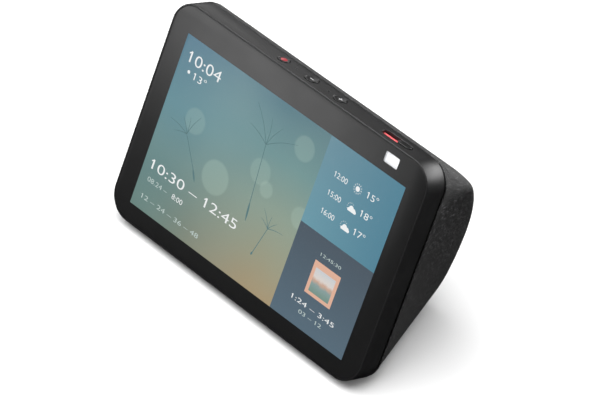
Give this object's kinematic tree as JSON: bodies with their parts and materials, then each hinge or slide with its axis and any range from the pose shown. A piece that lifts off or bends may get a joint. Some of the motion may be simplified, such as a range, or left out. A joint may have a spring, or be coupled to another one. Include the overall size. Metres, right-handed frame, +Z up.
{
  "type": "smart display",
  "caption": "Free-standing smart display: a leaning touch screen slab on a wedge-shaped fabric speaker body, with push buttons and a sliding camera shutter.",
  "frame": {"origin": "on the table, under the middle of the object's box", "axes": "+Z up, the screen faces -Y, +X to the right of a person who faces the screen"},
  "size_m": [0.2004, 0.0991, 0.1358],
  "materials": {
    "charcoal_plastic": "fine matt moulding texture",
    "black_plastic": "matt",
    "cover_glass": "polished, black printed border",
    "screen": "lit picture",
    "light_guide": "white",
    "knit": "fine charcoal knit",
    "rubber": "matt",
    "steel": "brushed",
    "heat_sink": "extruded",
    "board": "green solder mask",
    "white_plastic": "satin",
    "red_plastic": "satin",
    "button_red": "lit from below",
    "lens_glass": "coated",
    "copper_film": "film",
    "thermal_pad": "soft",
    "paper_cone": "pressed fibre",
    "magnet": "plated",
    "red_wire": "smooth",
    "black_wire": "smooth"
  },
  "bodies": {
    "display": {"front_frame": "charcoal_plastic", "cover_glass": "cover_glass", "lcd_panel": "screen", "backlight_unit": "light_guide", "display_tray": "steel", "display_gasket": "black_plastic", "slab_back_cover": "black_plastic", "camera_module": "black_plastic", "camera_lens": "lens_glass", "shutter_guide": "black_plastic", "mic_camera_switch": "steel", "volume_down_switch": "steel", "volume_up_switch": "steel", "button_board": "board", "microphone_left": "steel", "microphone_right": "steel", "fabric_cover": "knit", "rear_housing": "black_plastic", "base_plate": "black_plastic", "rubber_foot": "rubber", "main_board": "board", "shield_can": "steel", "thermal_pad": "thermal_pad", "heat_sink": "heat_sink", "antenna_left": "copper_film", "antenna_right": "copper_film", "port_trim": "black_plastic", "dc_jack": "black_plastic", "power_board": "board", "board_screw_left": "steel", "board_screw_right": "steel", "radiator_frame": "black_plastic", "radiator_surround": "rubber", "display_ribbon": "copper_film", "button_ribbon": "copper_film", "speaker_lead_left": "red_wire", "speaker_lead_right": "red_wire", "power_lead": "black_wire", "base_screw_1": "steel", "base_screw_2": "steel", "base_screw_3": "steel", "base_screw_4": "steel", "left_speaker_basket": "steel", "left_speaker_magnet": "magnet", "left_speaker_surround": "rubber", "right_speaker_basket": "steel", "right_speaker_magnet": "magnet", "right_speaker_surround": "rubber"},
    "mic_camera_key": {"mic_camera_button": "button_red"},
    "volume_down_key": {"volume_down_button": "charcoal_plastic"},
    "volume_up_key": {"volume_up_button": "charcoal_plastic"},
    "shutter": {"shutter_slider": "charcoal_plastic", "shutter_carrier": "black_plastic", "shutter_red_strip": "red_plastic", "shutter_blade": "white_plastic"},
    "left_diaphragm": {"left_speaker_cone": "paper_cone"},
    "right_diaphragm": {"right_speaker_cone": "paper_cone"},
    "bass_radiator": {"radiator_plate": "steel"}
  },
  "joints": [
    {"name": "mic_camera_press", "type": "slide", "parent": "display", "child": "mic_camera_key", "axis": [0, -0.2756, -0.9613], "range_m": [0, 0.0006], "stiffness_N_per_m": 400, "springref_m": -0.0005},
    {"name": "volume_down_press", "type": "slide", "parent": "display", "child": "volume_down_key", "axis": [0, -0.2756, -0.9613], "range_m": [0, 0.0006], "stiffness_N_per_m": 400, "springref_m": -0.0005},
    {"name": "volume_up_press", "type": "slide", "parent": "display", "child": "volume_up_key", "axis": [0, -0.2756, -0.9613], "range_m": [0, 0.0006], "stiffness_N_per_m": 400, "springref_m": -0.0005},
    {"name": "shutter_slide", "type": "slide", "parent": "display", "child": "shutter", "axis": [-1, 0, 0], "range_m": [0, 0.0108]},
    {"name": "left_diaphragm_stroke", "type": "slide", "parent": "display", "child": "left_diaphragm", "axis": [-1, 0, 0], "range_m": [-0.0015, 0.0015], "stiffness_N_per_m": 900},
    {"name": "right_diaphragm_stroke", "type": "slide", "parent": "display", "child": "right_diaphragm", "axis": [1, 0, 0], "range_m": [-0.0015, 0.0015], "stiffness_N_per_m": 900},
    {"name": "bass_radiator_stroke", "type": "slide", "parent": "display", "child": "bass_radiator", "axis": [0, 1, 0], "range_m": [-0.002, 0.002], "stiffness_N_per_m": 700}
  ]
}
